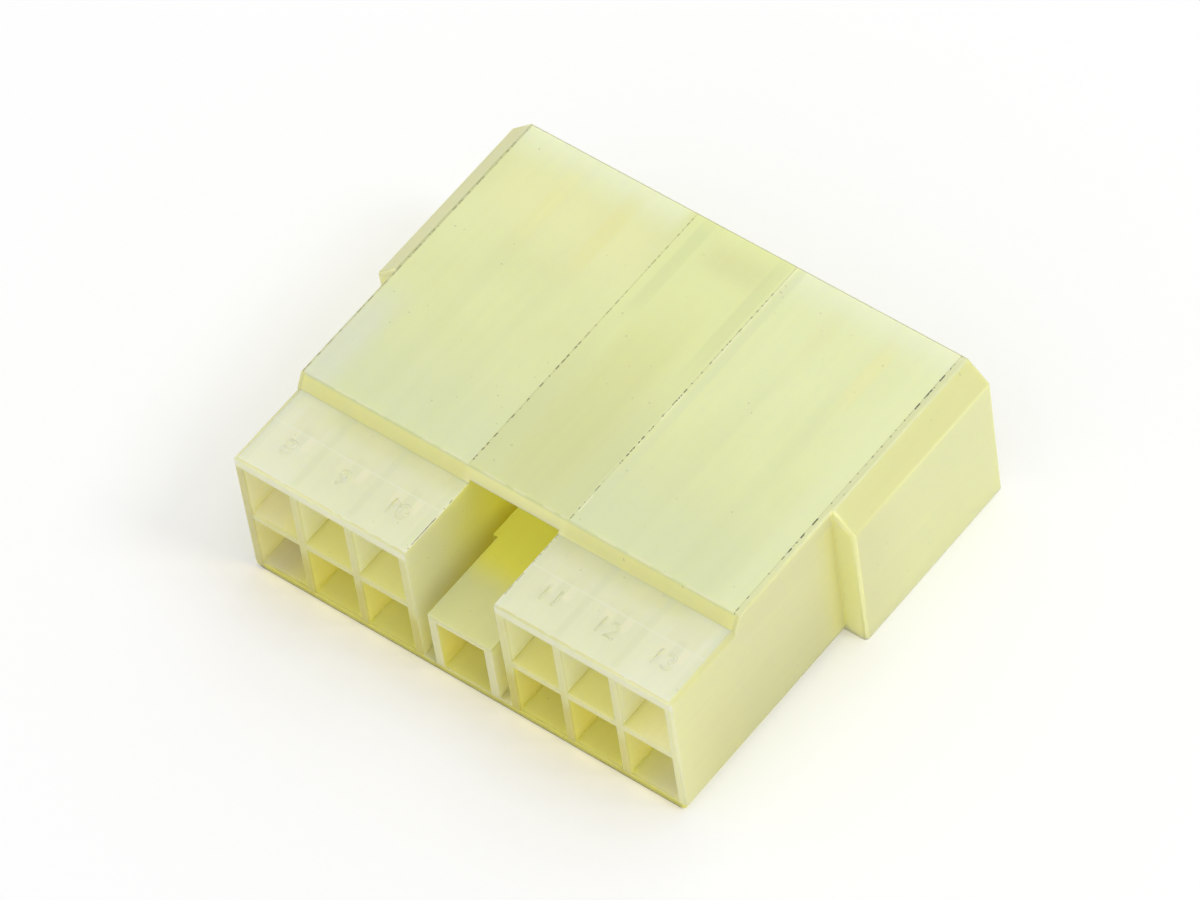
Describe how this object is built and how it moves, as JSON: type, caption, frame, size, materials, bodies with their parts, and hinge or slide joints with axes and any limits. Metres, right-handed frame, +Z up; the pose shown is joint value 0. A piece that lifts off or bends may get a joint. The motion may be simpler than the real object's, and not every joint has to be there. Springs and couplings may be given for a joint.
{
  "type": "wire to board connector housing",
  "caption": "Hooded nylon housing for crimp terminals: banks of wire cells either side of a latch channel, with a mating hood behind them and keys along its sides.",
  "frame": {"origin": "centre of the underside, on the plane the housing lies on", "axes": "+X along the row of cells, +Y from the wire entry to the mouth of the hood, +Z up"},
  "size_m": [0.0434, 0.0356, 0.0142],
  "materials": {
    "nylon": "satin"
  },
  "bodies": {
    "root": {"housing": "nylon"}
  },
  "joints": []
}
